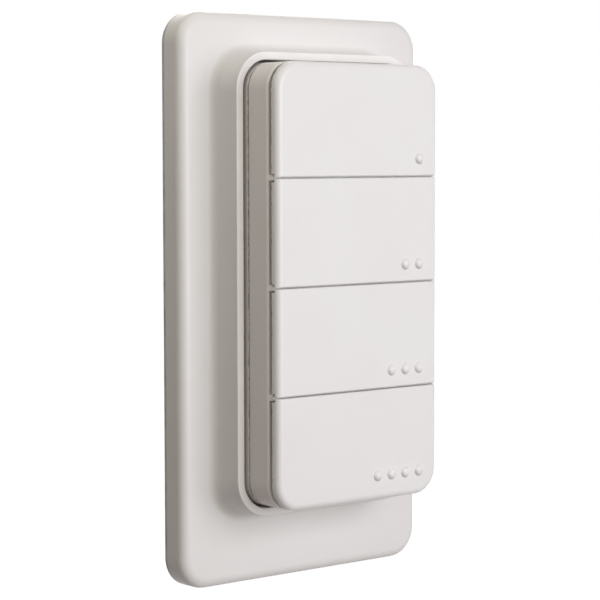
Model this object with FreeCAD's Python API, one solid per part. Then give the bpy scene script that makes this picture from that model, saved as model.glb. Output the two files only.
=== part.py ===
"""Wireless wall switch: a remote with four push caps, docked in a holder on the wall.

The pieces are drawn lying down, with X across, Y up the wall and Z out of the wall,
and are then stood up: +Z up, front facing -Y, wall at Y = 0. All sizes are millimetres.
"""
import FreeCAD, Part
import math
import os

V = FreeCAD.Vector

# Holder: the moulded plate
plate_side_border = 5.9
plate_top_border = 5.8
plate_bottom_border = 10.9
plate_corner = 4.6
plate_front = 4.6
plate_edge = 1.55
plate_wall = 1.6
shadow_gap = 0.1

# Holder: the collar round the remote and the pocket inside it
collar_front = 10.2
collar_wall = 1.25
collar_foot = 1.45
collar_lip = 0.2
pocket_clearance = 0.4
pocket_floor = 1.5

# Holder: foam pad, steel sheet, ribs and screw holes behind the pocket
pad_thickness = 1.1
pad_margin = 1.5
pad_corner = 2.0
pad_screw_margin = 6.0
keeper_thickness = 1.0
keeper_margin = 1.6
keeper_corner = 3.0
keeper_clearance = 0.15
rib_thickness = 1.0
rib_recess = 0.8
rib_pitch = 18.0
peg_radius = 1.2
peg_offset = 10.0
peg_clearance = 0.1
wall_screw_radius = 1.9
wall_screw_head_radius = 3.4
wall_screw_head_depth = 1.2
wall_screw_inset = 5.9

# Remote: outline and case
remote_width = 31.3
remote_height = 65.0
remote_corner = 4.0
case_wall = 1.3
back_thickness = 1.2
back_edge = 0.8
seam_gap = 0.2
seam_below_deck = 1.45
seam_edge = 0.08
case_lip_height = 1.1
case_lip_thickness = 0.6
case_lip_clearance = 0.1
case_lip_end_clearance = 0.2
deck_thickness = 1.2
deck_drop = 2.1
deck_room = 0.8
divider_thickness = 0.8

# Remote: caps
cap_gap = 0.65
cap_thickness = 1.35
cap_edge = 1.0
cap_split = 0.22
cap_split_edge = 0.15
cap_rim_thickness = 0.75
cap_rim_clearance = 0.05
middle_cap_pitch = 15.8
press_travel = 0.3
skirt_thickness = 0.9
skirt_clearance = 0.25
divider_clearance = 0.2
plunger_radius = 1.6
plunger_clearance = 0.3
hook_offset = 8.6
hook_thickness = 0.9
hook_width = 3.0
hook_barb = 0.6
hook_height = 0.9
hook_clearance = 0.25
hook_play = 0.05
dot_radius = 0.875
dot_height = 0.48
dot_pitch = 2.76
dot_side_margin = 3.8
dot_rise = 2.7

# Remote: coin cell, its door and its contacts
cell_radius = 10.0
cell_thickness = 3.2
cell_edge = 0.35
cell_rim = 1.4
cell_cap_step = 0.3
cell_clearance = 0.3
cell_wall = 1.1
contact_room = 0.5
contact_thickness = 0.2
contact_width = 4.0
contact_foot = 2.8
contact_clearance = 0.02
contact_slot_clearance = 0.5
leaf_width = 5.0
leaf_base = 3.5
leaf_crest = 6.4
leaf_tip = 7.8
leaf_tip_lift = 0.12
door_clearance = 0.15
door_ring_thickness = 0.75
door_ring_height = 0.9
door_lug_count = 3
door_lug_reach = 0.95
door_lug_thickness = 0.8
door_lug_angle = 30.0
door_lug_play = 0.05
door_notch_extra_angle = 8.0
door_turn = 45.0
coin_slot_length = 11.0
coin_slot_width = 1.7
coin_slot_depth = 0.6

# Remote: magnets, board, switches and screws
magnet_radius = 4.0
magnet_thickness = 2.0
magnet_skin = 0.6
magnet_clearance = 0.1
magnet_wall = 1.0
board_thickness = 1.0
board_clearance = 0.4
board_corner = 2.3
board_post_clearance = 0.3
board_pin_radius = 0.6
board_pin_clearance = 0.1
board_pillar_radius = 1.1
board_pillar_inset = 1.9
board_rib_width = 5.0
board_rib_thickness = 1.0
board_rib_inset = 2.8
board_rib_offset = 19.5
radio_width = 11.0
radio_height = 6.0
radio_thickness = 1.5
radio_inset = 0.6
radio_edge = 0.25
tact_size = 4.5
tact_height = 1.8
tact_edge = 0.2
tact_leg_width = 0.7
tact_leg_length = 0.6
tact_leg_thickness = 0.2
tact_leg_spacing = 3.0
stem_radius = 1.0
stem_height = 0.5
stem_depth = 0.6
stem_clearance = 0.06
stem_bore_extra_depth = 0.1
post_radius = 2.2
post_inset = 0.4
boss_radius = 2.7
case_screw_radius = 1.0
case_screw_hole_clearance = 0.15
case_screw_pilot_clearance = 0.02
case_screw_head_radius = 1.9
case_screw_head_height = 1.0
case_screw_head_sink = 0.3
case_screw_head_clearance = 0.2
case_screw_bite = 2.4
case_screw_pilot_end = 0.3
screw_cross_length = 2.2
screw_cross_width = 0.45
screw_cross_depth = 0.5

# Depths from the wall, counted outwards through the stack of pieces
remote_back = pad_thickness + keeper_thickness + pocket_floor
cell_back = remote_back + back_thickness
cell_front = cell_back + cell_thickness
board_back = cell_front + contact_room
board_front = board_back + board_thickness
tact_front = board_front + tact_height
stem_front = tact_front + stem_height
deck_back = tact_front + deck_room
deck_front = deck_back + deck_thickness
housing_front = deck_front + deck_drop
cap_back = housing_front + cap_gap
cap_front = cap_back + cap_thickness
cap_rim_back = cap_front - cap_rim_thickness
divider_front = cap_rim_back - press_travel - cap_rim_clearance
seam_back = deck_back - seam_below_deck
seam_front = seam_back + seam_gap

# Outlines that follow from the driving sizes
pocket_width = remote_width + 2 * pocket_clearance
pocket_height = remote_height + 2 * pocket_clearance
pocket_corner = remote_corner + pocket_clearance
collar_width = pocket_width + 2 * collar_wall
collar_height = pocket_height + 2 * collar_wall
collar_corner = pocket_corner + collar_wall
plate_width = collar_width + 2 * plate_side_border
plate_height = collar_height + plate_top_border + plate_bottom_border
remote_rise = (plate_bottom_border - plate_top_border) / 2
keeper_width = pocket_width - 2 * keeper_margin
keeper_height = pocket_height - 2 * keeper_margin
wall_screw_offset = pocket_height / 2 - wall_screw_inset
case_inner_width = remote_width - 2 * case_wall
case_inner_height = remote_height - 2 * case_wall
case_inner_corner = remote_corner - case_wall
board_width = case_inner_width - 2 * board_clearance
board_height = case_inner_height - 2 * board_clearance
post_x = case_inner_width / 2 - post_inset - post_radius
post_y = case_inner_height / 2 - post_inset - post_radius
cell_ring_inner = cell_radius + cell_clearance
door_ring_inner = cell_radius + cell_clearance
door_radius = door_ring_inner + door_ring_thickness
door_lug_radius = door_radius + door_lug_reach
lug_angles = [90 + 360 / door_lug_count * number for number in range(door_lug_count)]
cell_ring_outer = door_lug_radius + door_clearance + cell_wall
lug_channel_front = cell_back + door_ring_height + door_clearance
magnet_well_radius = magnet_radius + magnet_clearance
magnet_ring_radius = magnet_well_radius + magnet_wall
magnet_offset = cell_ring_outer + magnet_ring_radius - magnet_wall / 2
magnet_back = remote_back + magnet_skin
board_pillar_x = board_width / 2 - board_pillar_inset

# The caps' split lines, and each cap's lower and upper end, from the top cap down
split_lines = (middle_cap_pitch, 0.0, -middle_cap_pitch)
cap_ends = (
    (split_lines[0], remote_height / 2),
    (split_lines[1], split_lines[0]),
    (split_lines[2], split_lines[1]),
    (-remote_height / 2, split_lines[2]),
)
cap_centres = tuple((low + high) / 2 for low, high in cap_ends)
corners = ((1, 1), (-1, 1), (-1, -1), (1, -1))
past = 1.0


def outline(width, height, corner, level, x=0.0, y=0.0):
    """Closed wire of a rectangle with round corners, centred on x, y."""
    half_x = width / 2
    half_y = height / 2
    bulge = corner * (1 - math.sqrt(0.5))
    points = []
    for side_x, side_y in ((1, -1), (1, 1), (-1, 1), (-1, -1)):
        on_x = V(x + side_x * (half_x - corner), y + side_y * half_y, level)
        middle = V(x + side_x * (half_x - bulge), y + side_y * (half_y - bulge), level)
        on_y = V(x + side_x * half_x, y + side_y * (half_y - corner), level)
        points.append((on_x, middle, on_y) if side_x * side_y < 0 else (on_y, middle, on_x))
    edges = []
    for number, (first, middle, last) in enumerate(points):
        edges.append(Part.Arc(first, middle, last).toShape())
        edges.append(Part.makeLine(last, points[(number + 1) % 4][0]))
    return Part.Wire(edges)


def slab(width, height, corner, back, front, x=0.0, y=0.0):
    """Plate with round corners between two depths."""
    face = Part.Face(outline(width, height, corner, back, x, y))
    return face.extrude(V(0, 0, front - back))


def block(low_x, high_x, low_y, high_y, back, front):
    """Plain box between two depths."""
    return Part.makeBox(high_x - low_x, high_y - low_y, front - back, V(low_x, low_y, back))


def rod(radius, back, front, x=0.0, y=0.0):
    """Round bar out of the wall."""
    return Part.makeCylinder(radius, front - back, V(x, y, back))


def sector(inner, outer, angle, middle_angle, back, front):
    """Part of a ring, angle degrees wide, about the Z axis."""
    pie = Part.makeCylinder(outer, front - back, V(0, 0, back), V(0, 0, 1), angle)
    pie.rotate(V(0, 0, 0), V(0, 0, 1), middle_angle - angle / 2)
    return pie.cut(rod(inner, back - past, front + past))


def revolved(profile):
    """Solid turned about the Z axis from a closed list of (radius, depth) points."""
    points = [V(radius, 0, depth) for radius, depth in profile]
    face = Part.Face(Part.makePolygon(points + points[:1]))
    return face.revolve(V(0, 0, 0), V(0, 0, 1), 360)


def prism(profile, low_y, high_y):
    """Solid of an (x, depth) outline, drawn out along Y."""
    points = [V(across, low_y, depth) for across, depth in profile]
    face = Part.Face(Part.makePolygon(points + points[:1]))
    return face.extrude(V(0, high_y - low_y, 0))


def edges_at(shape, level, inside=None):
    """Edges that lie flat at one depth, and inside a half width and half height if given."""
    found = []
    for edge in shape.Edges:
        box = edge.BoundBox
        if abs(box.ZMin - level) > 1e-4 or abs(box.ZMax - level) > 1e-4:
            continue
        if inside and (max(-box.XMin, box.XMax) > inside[0] or max(-box.YMin, box.YMax) > inside[1]):
            continue
        found.append(edge)
    return found


def wall_plate():
    """Plate, collar and pocket in one moulding, with ribs and a seat for the sheet behind."""
    ceiling = plate_front - plate_wall
    body = slab(plate_width, plate_height, plate_corner, shadow_gap, plate_front, 0, -remote_rise)
    body = body.makeFillet(plate_edge, edges_at(body, plate_front))
    hollow = slab(
        plate_width - 2 * plate_wall,
        plate_height - 2 * plate_wall,
        plate_corner - plate_wall,
        shadow_gap - past,
        ceiling,
        0,
        -remote_rise,
    )
    body = body.cut(hollow)
    body = body.fuse(slab(collar_width, collar_height, collar_corner, pad_thickness, collar_front))
    foot = edges_at(body, plate_front, (collar_width / 2 + past / 10, collar_height / 2 + past / 10))
    body = body.makeFillet(collar_foot, foot)
    body = body.fuse(plate_ribs(ceiling))
    body = body.cut(slab(pocket_width, pocket_height, pocket_corner, remote_back, collar_front + past))
    body = body.makeFillet(collar_lip, edges_at(body, collar_front))
    seat = slab(
        keeper_width + 2 * keeper_clearance,
        keeper_height + 2 * keeper_clearance,
        keeper_corner,
        pad_thickness - past,
        pad_thickness + keeper_thickness,
    )
    body = body.cut(seat)
    for side in (-1, 1):
        peg = rod(peg_radius, pad_thickness, remote_back - past / 2, 0, side * peg_offset)
        body = body.fuse(peg)
        body = body.cut(wall_screw_hole(side * wall_screw_offset))
    return body.removeSplitter()


def plate_ribs(ceiling):
    """Ribs between the plate's skirt and the block behind the pocket."""
    back = shadow_gap + rib_recess
    reach_x = plate_width / 2 - plate_wall / 2
    reach_up = plate_height / 2 - plate_wall / 2 - remote_rise
    reach_down = plate_height / 2 - plate_wall / 2 + remote_rise
    start_x = collar_width / 2 - collar_wall / 2
    start_y = collar_height / 2 - collar_wall / 2
    half = rib_thickness / 2
    ribs = []
    for row in (-1, 0, 1):
        along = row * rib_pitch
        ribs.append(block(start_x, reach_x, along - half, along + half, back, ceiling))
        ribs.append(block(-reach_x, -start_x, along - half, along + half, back, ceiling))
        across = along / 2
        ribs.append(block(across - half, across + half, start_y, reach_up, back, ceiling))
        ribs.append(block(across - half, across + half, -reach_down, -start_y, back, ceiling))
    return ribs


def wall_screw_hole(along):
    """Clearance hole with a countersink in the pocket floor."""
    hole = rod(wall_screw_radius, pad_thickness - past, remote_back + past, 0, along)
    sink = Part.makeCone(
        wall_screw_radius,
        wall_screw_head_radius,
        wall_screw_head_depth,
        V(0, along, remote_back - wall_screw_head_depth),
    )
    return hole.fuse(sink)


def keeper_plate():
    """Steel sheet that the remote's magnets pull on."""
    front = pad_thickness + keeper_thickness
    body = slab(keeper_width, keeper_height, keeper_corner - keeper_clearance, pad_thickness, front)
    for side in (-1, 1):
        body = body.cut(rod(wall_screw_radius, pad_thickness - past, front + past, 0, side * wall_screw_offset))
        body = body.cut(rod(peg_radius + peg_clearance, pad_thickness - past, front + past, 0, side * peg_offset))
    return body


def adhesive_pad():
    """Foam pad between the steel sheet and the wall."""
    height = 2 * (wall_screw_offset - pad_screw_margin)
    return slab(keeper_width - 2 * pad_margin, height, pad_corner, 0, pad_thickness)


def case_inside(back, front, outset=0.0):
    """The space inside the case walls, or a little wider."""
    return slab(
        case_inner_width + 2 * outset,
        case_inner_height + 2 * outset,
        case_inner_corner + outset,
        back,
        front,
    )


def rear_cover():
    """Tray with the cell compartment, magnet wells, screw bosses, ribs and a lip."""
    body = slab(remote_width, remote_height, remote_corner, remote_back, seam_back)
    body = body.makeFillet(back_edge, edges_at(body, remote_back))
    body = body.makeChamfer(seam_edge, edges_at(body, seam_back))
    body = body.cut(case_inside(cell_back, seam_back + past))
    lip_front = seam_back + case_lip_height
    lip = case_inside(seam_back - past, lip_front, case_lip_thickness)
    lip = lip.cut(case_inside(seam_back - 2 * past, lip_front + past))
    body = body.fuse([lip, rod(cell_ring_outer, cell_back - back_thickness / 2, board_back)])
    for side in (-1, 1):
        well = rod(magnet_ring_radius, magnet_back, magnet_back + magnet_thickness, 0, side * magnet_offset)
        body = body.fuse(well)
    for side_x, side_y in corners:
        boss = rod(boss_radius, cell_back - back_thickness / 2, board_back, side_x * post_x, side_y * post_y)
        body = body.fuse(boss.common(case_inside(remote_back, seam_back, case_wall / 2)))
        body = body.fuse(board_rib(side_x, side_y))
    body = body.cut(cell_compartment())
    for side in (-1, 1):
        body = body.cut(rod(magnet_well_radius, magnet_back, board_back, 0, side * magnet_offset))
    for side_x, side_y in corners:
        body = body.cut(case_screw_hole(side_x * post_x, side_y * post_y))
    return body.removeSplitter()


def board_rib(side_x, side_y):
    """Rib on the tray's floor that carries the board."""
    centre_x = side_x * (board_width / 2 - board_rib_inset)
    centre_y = side_y * board_rib_offset
    return block(
        centre_x - board_rib_thickness / 2,
        centre_x + board_rib_thickness / 2,
        centre_y - board_rib_width / 2,
        centre_y + board_rib_width / 2,
        cell_back - back_thickness / 2,
        board_back,
    )


def cell_compartment():
    """Everything cut for the cell: door opening, lug notches and channel, bore, contact slot."""
    opening = door_radius + door_clearance
    channel = door_lug_radius + door_clearance
    space = revolved(
        [
            (0, remote_back - past),
            (opening, remote_back - past),
            (opening, cell_back),
            (channel, cell_back),
            (channel, lug_channel_front),
            (cell_ring_inner, lug_channel_front),
            (cell_ring_inner, board_back + past),
            (0, board_back + past),
        ]
    )
    notch_angle = door_lug_angle + door_notch_extra_angle
    for angle in lug_angles:
        notch = sector(opening - past, channel, notch_angle, angle + door_turn, remote_back - past, cell_back)
        space = space.fuse(notch)
    half = contact_width / 2 + contact_slot_clearance
    slot = block(-half, half, -cell_ring_outer - past, -cell_radius, lug_channel_front, board_back + past)
    return space.fuse(slot)


def case_screw_hole(x, y):
    """Recess for the head and clearance hole through the boss."""
    head_front = remote_back + case_screw_head_sink + case_screw_head_height
    recess = rod(case_screw_head_radius + case_screw_head_clearance, remote_back - past, head_front, x, y)
    return recess.fuse(rod(case_screw_radius + case_screw_hole_clearance, remote_back, board_back + past, x, y))


def case_screw(x, y):
    """Pan head screw, head to the back, with a cross recess."""
    head_back = remote_back + case_screw_head_sink
    head_front = head_back + case_screw_head_height
    head = rod(case_screw_head_radius, head_back, head_front, x, y)
    head = head.makeFillet(case_screw_head_height / 2, edges_at(head, head_back))
    half = screw_cross_length / 2
    narrow = screw_cross_width / 2
    bottom = head_back + screw_cross_depth
    head = head.cut(block(x - half, x + half, y - narrow, y + narrow, head_back - past, bottom))
    head = head.cut(block(x - narrow, x + narrow, y - half, y + half, head_back - past, bottom))
    return head.fuse(rod(case_screw_radius, head_front - past / 10, board_back + case_screw_bite, x, y))


def case_screws():
    """The four screws that hold the two halves of the case together."""
    return Part.makeCompound([case_screw(side_x * post_x, side_y * post_y) for side_x, side_y in corners])


def battery_door():
    """Round bayonet door with three lugs and a coin slot."""
    ring_front = cell_back + door_ring_height
    body = rod(door_radius, remote_back, ring_front)
    body = body.cut(rod(door_ring_inner, cell_back, ring_front + past))
    lug_back = cell_back + door_lug_play
    lug_front = lug_back + door_lug_thickness
    for angle in lug_angles:
        body = body.fuse(sector(door_ring_inner, door_lug_radius, door_lug_angle, angle, lug_back, lug_front))
    half = coin_slot_length / 2
    width = coin_slot_width / 2
    slot = block(-half, half, -width, width, remote_back - past, remote_back + coin_slot_depth)
    return body.cut(slot).removeSplitter()


def coin_cell():
    """Coin cell: the can with a rounded rim, and the narrower cap towards the board."""
    can_front = cell_front - cell_cap_step
    can = rod(cell_radius, cell_back, can_front)
    can = can.makeFillet(cell_edge, edges_at(can, cell_back) + edges_at(can, can_front))
    cap = rod(cell_radius - cell_rim, can_front - cell_edge, cell_front)
    cap = cap.makeFillet(cell_cap_step / 2, edges_at(cap, cell_front))
    return can.fuse(cap)


def contact_positive():
    """Bent clip: a foot on the board and a leg along the cell's side."""
    inner = -(cell_radius + contact_clearance)
    outer = inner - contact_thickness
    half = contact_width / 2
    leg = block(-half, half, outer, inner, lug_channel_front + contact_slot_clearance, board_back)
    foot = block(-half, half, outer - contact_foot, inner, board_back - contact_thickness, board_back)
    return leg.fuse(foot).removeSplitter()


def contact_negative():
    """Leaf with two sprung arms that press on the cell's cap."""
    base = board_back - contact_thickness
    tip = cell_front + leaf_tip_lift
    near = [(-leaf_tip, tip), (-leaf_crest, cell_front), (-leaf_base, base)]
    near += [(leaf_base, base), (leaf_crest, cell_front), (leaf_tip, tip)]
    far = [(across, depth + contact_thickness) for across, depth in reversed(near)]
    return prism(near + far, -leaf_width / 2, leaf_width / 2)


def disc_magnet(side):
    """Disc magnet in its well."""
    body = rod(magnet_radius, magnet_back, magnet_back + magnet_thickness, 0, side * magnet_offset)
    return body.makeChamfer(magnet_clearance, body.Edges[:1])


def circuit_board():
    """Board cut back round the four screw posts, with holes for the locating pins."""
    body = slab(board_width, board_height, board_corner, board_back, board_front)
    room = post_radius + board_post_clearance
    back = board_back - past
    front = board_front + past
    for side_x, side_y in corners:
        x = side_x * post_x
        y = side_y * post_y
        end_x = side_x * remote_width / 2
        end_y = side_y * remote_height / 2
        low_x, high_x = sorted((x, end_x))
        low_y, high_y = sorted((y, end_y))
        wide_x = sorted((x - side_x * room, end_x))
        wide_y = sorted((y - side_y * room, end_y))
        body = body.cut(rod(room, back, front, x, y))
        body = body.cut(block(low_x, high_x, wide_y[0], wide_y[1], back, front))
        body = body.cut(block(wide_x[0], wide_x[1], low_y, high_y, back, front))
        pin_y = side_y * middle_cap_pitch
        body = body.cut(rod(board_pin_radius + board_pin_clearance, back, front, side_x * board_pillar_x, pin_y))
    return body


def radio_module():
    """Shielded radio module on the back of the board, at the top."""
    y = board_height / 2 - radio_inset - radio_height / 2
    body = slab(radio_width, radio_height, radio_inset, board_back - radio_thickness, board_back, 0, y)
    return body.makeFillet(radio_edge, edges_at(body, board_back - radio_thickness))


def tact_switch(y):
    """Push switch: square body with a bore for its stem and four legs on the board."""
    half = tact_size / 2
    body = block(-half, half, y - half, y + half, board_front, tact_front)
    body = body.makeChamfer(tact_edge, edges_at(body, tact_front))
    for side_x, side_y in corners:
        leg_y = y + side_y * tact_leg_spacing / 2
        inner_x, outer_x = sorted((side_x * (half - tact_edge), side_x * (half + tact_leg_length)))
        leg = block(
            inner_x,
            outer_x,
            leg_y - tact_leg_width / 2,
            leg_y + tact_leg_width / 2,
            board_front,
            board_front + tact_leg_thickness,
        )
        body = body.fuse(leg)
    bore_back = tact_front - stem_depth - press_travel - stem_bore_extra_depth
    return body.cut(rod(stem_radius + stem_clearance, bore_back, tact_front + past, 0, y)).removeSplitter()


def switch_stem(y):
    """The switch's own stem, which the cap presses."""
    body = rod(stem_radius, tact_front - stem_depth, stem_front, 0, y)
    return body.makeChamfer(stem_clearance, edges_at(body, stem_front))


def front_housing():
    """Side walls and deck, with dividers, screw posts, board pillars and hook slots."""
    body = slab(remote_width, remote_height, remote_corner, seam_front, housing_front)
    body = body.makeChamfer(seam_edge, edges_at(body, seam_front) + edges_at(body, housing_front))
    body = body.cut(case_inside(seam_front - past, deck_back))
    body = body.cut(case_inside(deck_front, housing_front + past))
    rebate_front = seam_back + case_lip_height + case_lip_end_clearance
    rebate = case_inside(seam_front - past, rebate_front, case_lip_thickness + case_lip_clearance)
    body = body.cut(rebate)
    reach = remote_width / 2
    half = divider_thickness / 2
    for line in split_lines:
        body = body.fuse(block(-reach, reach, line - half, line + half, deck_back, divider_front))
    for side_x, side_y in corners:
        x = side_x * post_x
        y = side_y * post_y
        screw_end = board_back + case_screw_bite + case_screw_pilot_end
        pilot = rod(case_screw_radius + case_screw_pilot_clearance, board_back - past, screw_end, x, y)
        body = body.fuse(rod(post_radius, board_back, deck_back + past / 2, x, y)).cut(pilot)
        pin_x = side_x * board_pillar_x
        pin_y = side_y * middle_cap_pitch
        body = body.fuse(rod(board_pillar_radius, board_front, deck_back + past / 2, pin_x, pin_y))
        body = body.fuse(rod(board_pin_radius, board_back, deck_back, pin_x, pin_y))
    for y in cap_centres:
        body = body.cut(rod(plunger_radius + plunger_clearance, deck_back - past, deck_front + past, 0, y))
        for side in (-1, 1):
            body = body.cut(hook_slot(side, y))
    return body.removeSplitter()


def hook_slot(side, y):
    """Slot in the deck for one hook of a cap."""
    near = hook_offset - hook_clearance
    far = hook_offset + hook_thickness + hook_clearance
    low_x, high_x = sorted((side * near, side * far))
    half = hook_width / 2 + hook_clearance
    return block(low_x, high_x, y - half, y + half, deck_back - past, deck_front + past)


def cap_hook(side, y):
    """Leg through the deck with a barb that holds the cap in."""
    tip = deck_back - hook_play - hook_height
    barb_front = deck_back - hook_play
    outer = hook_offset + hook_thickness
    profile = [
        (hook_offset, tip),
        (outer, tip),
        (outer + hook_barb, barb_front - hook_height / 3),
        (outer + hook_barb, barb_front),
        (outer, barb_front),
        (outer, cap_back + cap_thickness / 2),
        (hook_offset, cap_back + cap_thickness / 2),
    ]
    return prism([(side * across, depth) for across, depth in profile], y - hook_width / 2, y + hook_width / 2)


def split_groove(line):
    """Gap between two caps, opened at the front by their chamfers and at the back for the divider."""
    half = cap_split / 2
    reach = remote_width / 2 + past
    wide = half + cap_split_edge + past
    groove = block(-reach, reach, line - half, line + half, cap_back - past, cap_front + past)
    room = divider_thickness / 2 + divider_clearance
    groove = groove.fuse(block(-reach, reach, line - room, line + room, cap_back - past, cap_rim_back))
    mouth = Part.makePolygon(
        [
            V(-reach, line - half, cap_front - cap_split_edge),
            V(-reach, line + half, cap_front - cap_split_edge),
            V(-reach, line + wide, cap_front + past),
            V(-reach, line - wide, cap_front + past),
            V(-reach, line - half, cap_front - cap_split_edge),
        ]
    )
    return groove.fuse(Part.Face(mouth).extrude(V(2 * reach, 0, 0)))


def cap_faces():
    """The four caps' outer plates, split from one plate with rounded front edges."""
    whole = slab(remote_width, remote_height, remote_corner, cap_back, cap_front)
    whole = whole.makeFillet(cap_edge, edges_at(whole, cap_front))
    for line in split_lines:
        whole = whole.cut(split_groove(line))
    return sorted(whole.Solids, key=lambda solid: -solid.CenterOfMass.y)


def cap_skirt(low, high):
    """Guide rim under a cap, running in the well of the housing."""
    end = deck_front + press_travel + divider_clearance
    inset = divider_thickness / 2 + divider_clearance
    band = block(-remote_width, remote_width, low + inset, high - inset, end - past, cap_back + past)
    outer = case_inside(end, cap_back + cap_thickness / 2, -skirt_clearance).common(band)
    inner_low = low + inset + skirt_thickness
    inner_high = high - inset - skirt_thickness
    inner_band = block(-remote_width, remote_width, inner_low, inner_high, end - past, cap_back)
    inner = case_inside(end - past, cap_back, -skirt_clearance - skirt_thickness).common(inner_band)
    return outer.cut(inner)


def tactile_dots(number, low):
    """One to four raised dots in the cap's lower right corner."""
    sphere_radius = (dot_radius**2 + dot_height**2) / (2 * dot_height)
    rise = dot_rise + (cap_edge if number == len(cap_ends) else 0.0)
    dots = []
    for place in range(number):
        x = remote_width / 2 - dot_side_margin - place * dot_pitch
        ball = Part.makeSphere(sphere_radius, V(x, low + rise, cap_front + dot_height - sphere_radius))
        dots.append(ball.common(rod(dot_radius + past / 10, cap_front - dot_height, cap_front + past, x, low + rise)))
    return dots


def button_cap(number, plate):
    """Push cap: outer plate, guide rim, plunger, two hooks and its dots."""
    low, high = cap_ends[number - 1]
    y = cap_centres[number - 1]
    body = plate.fuse(cap_skirt(low, high))
    body = body.fuse(rod(plunger_radius, stem_front, cap_back + cap_thickness / 2, 0, y))
    body = body.fuse([cap_hook(-1, y), cap_hook(1, y)])
    return body.fuse(tactile_dots(number, low)).removeSplitter()


def stand_up(shape):
    """Turns a piece from lying down to standing on the wall, centred on the plate."""
    placed = shape.copy()
    placed.rotate(V(0, 0, 0), V(1, 0, 0), 90)
    placed.translate(V(0, 0, remote_rise))
    return placed


def pieces():
    """Every piece by its node's name, lying down and centred on the remote."""
    named = {
        "wall_plate": wall_plate(),
        "keeper_plate": keeper_plate(),
        "adhesive_pad": adhesive_pad(),
        "rear_cover": rear_cover(),
        "battery_door": battery_door(),
        "coin_cell": coin_cell(),
        "contact_positive": contact_positive(),
        "contact_negative": contact_negative(),
        "magnet_top": disc_magnet(1),
        "magnet_bottom": disc_magnet(-1),
        "circuit_board": circuit_board(),
        "radio_module": radio_module(),
        "case_screws": case_screws(),
        "front_housing": front_housing(),
    }
    for number, plate in enumerate(cap_faces(), start=1):
        y = cap_centres[number - 1]
        named[f"tact_switch_{number}"] = tact_switch(y)
        named[f"switch_stem_{number}"] = switch_stem(y)
        named[f"button_cap_{number}"] = button_cap(number, plate)
    return named


os.makedirs("parts", exist_ok=True)
for name, shape in pieces().items():
    stand_up(shape).exportStep(f"parts/{name}.step")
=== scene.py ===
"""Looks of the wireless wall switch: its finishes, the small parts on its board, light and camera.

Everything is in metres in the part's own frame: +Z up, front facing -Y, wall at Y = 0.
"""
import math

import bmesh
import bpy
from mathutils import Matrix, Vector
from mathutils import noise as noise_at


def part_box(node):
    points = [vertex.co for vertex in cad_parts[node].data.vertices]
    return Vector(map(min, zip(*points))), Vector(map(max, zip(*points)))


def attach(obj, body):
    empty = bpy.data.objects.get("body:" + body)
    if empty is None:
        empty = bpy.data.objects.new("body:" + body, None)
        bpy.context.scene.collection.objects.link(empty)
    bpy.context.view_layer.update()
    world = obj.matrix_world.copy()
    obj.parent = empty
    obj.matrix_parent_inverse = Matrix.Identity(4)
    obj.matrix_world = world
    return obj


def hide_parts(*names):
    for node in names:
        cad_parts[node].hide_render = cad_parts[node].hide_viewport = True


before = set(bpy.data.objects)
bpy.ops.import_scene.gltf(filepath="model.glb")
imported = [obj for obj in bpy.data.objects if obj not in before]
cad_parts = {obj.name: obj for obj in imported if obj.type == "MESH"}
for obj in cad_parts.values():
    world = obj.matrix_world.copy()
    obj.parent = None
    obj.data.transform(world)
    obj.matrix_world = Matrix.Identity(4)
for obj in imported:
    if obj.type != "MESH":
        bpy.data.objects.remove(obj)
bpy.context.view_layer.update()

MM = 0.001
NUMBER = "NodeSocketFloat"
VECTOR = "NodeSocketVector"
scene = bpy.context.scene

# Camera, as fitted to the edges in the photograph
picture_pixels = 600
focal_pixels = 2062.7
sensor_width = 36.0
near_clip = 0.01
camera_turn = math.radians(-39.56)
camera_rise = math.radians(4.05)
camera_roll = math.radians(-0.11)
camera_distance = 319.74 * MM
camera_aim = Vector((2.879, 0.0, -0.822)) * MM

# Soft lamps: place, side in metres, watts and colour
lamps = {
    "front_lamp": (Vector((0.055, -0.312, 0.0445)), 0.198, 0.745, (0.935, 0.94, 1.0)),
    "side_lamp": (Vector((-0.10, 0.0, 0.173)), 0.124, 0.12, (1.0, 0.99, 0.88)),
    "wide_lamp": (Vector((-0.204, -0.761, 0.139)), 0.5, 0.95, (1.0, 0.95, 0.70)),
    "back_lamp": (Vector((0.30, 0.62, 0.26)), 0.5, 2.8, (1.0, 0.98, 0.95)),
}

# Even fill on the object, and the floor under it
white = (1.0, 1.0, 1.0)
fill_strength = 0.115
fill_colour = (1.0, 0.77, 0.76)
floor_level = -0.40
floor_size = 8.0
floor_colour = (0.60, 0.585, 0.57)
floor_speckle_size = 0.05
floor_speckle_gain = 1.02
floor_roughness = 0.9
floor_glow = 0.94

# Depths of faces and seams, out of the wall
board_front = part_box("circuit_board")[0].y
board_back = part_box("circuit_board")[1].y
plate_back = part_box("wall_plate")[1].y
collar_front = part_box("wall_plate")[0].y
case_seam = -10.75 * MM
case_front = -15.4 * MM
cap_back = -16.05 * MM
cap_front = -17.4 * MM

# Sizes on the solids that a finish follows
dot_height = 0.48 * MM
screw_head_radius = 1.9 * MM
switch_leg_start = 2.26 * MM
switch_cover_thickness = 0.22 * MM

# Foam pad: how far its cut edge swells out, and how uneven that edge is
pad_corner = 2.0 * MM
pad_swell = 0.16 * MM
pad_unevenness = 0.05 * MM

# Tones of dirt and wear, and of the painted shade at the dots' feet
speck_tone = (0.42, 0.39, 0.35)
dust_tone = (0.47, 0.43, 0.37)
finger_tone = (0.62, 0.56, 0.49)
# Painted shade for the raised dots' feet
dot_shade_tone = (0.36, 0.335, 0.31)
worn_plastic = (0.88, 0.87, 0.85)
worn_sheet = (0.86, 0.86, 0.85)
worn_turned = (0.88, 0.88, 0.87)
worn_laminate = (0.45, 0.42, 0.25)
worn_black = (0.2, 0.2, 0.2)

# Rays that the rounded edges and the corners' dust are found with
edge_samples = 6
corner_samples = 6


# Shader helpers

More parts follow.
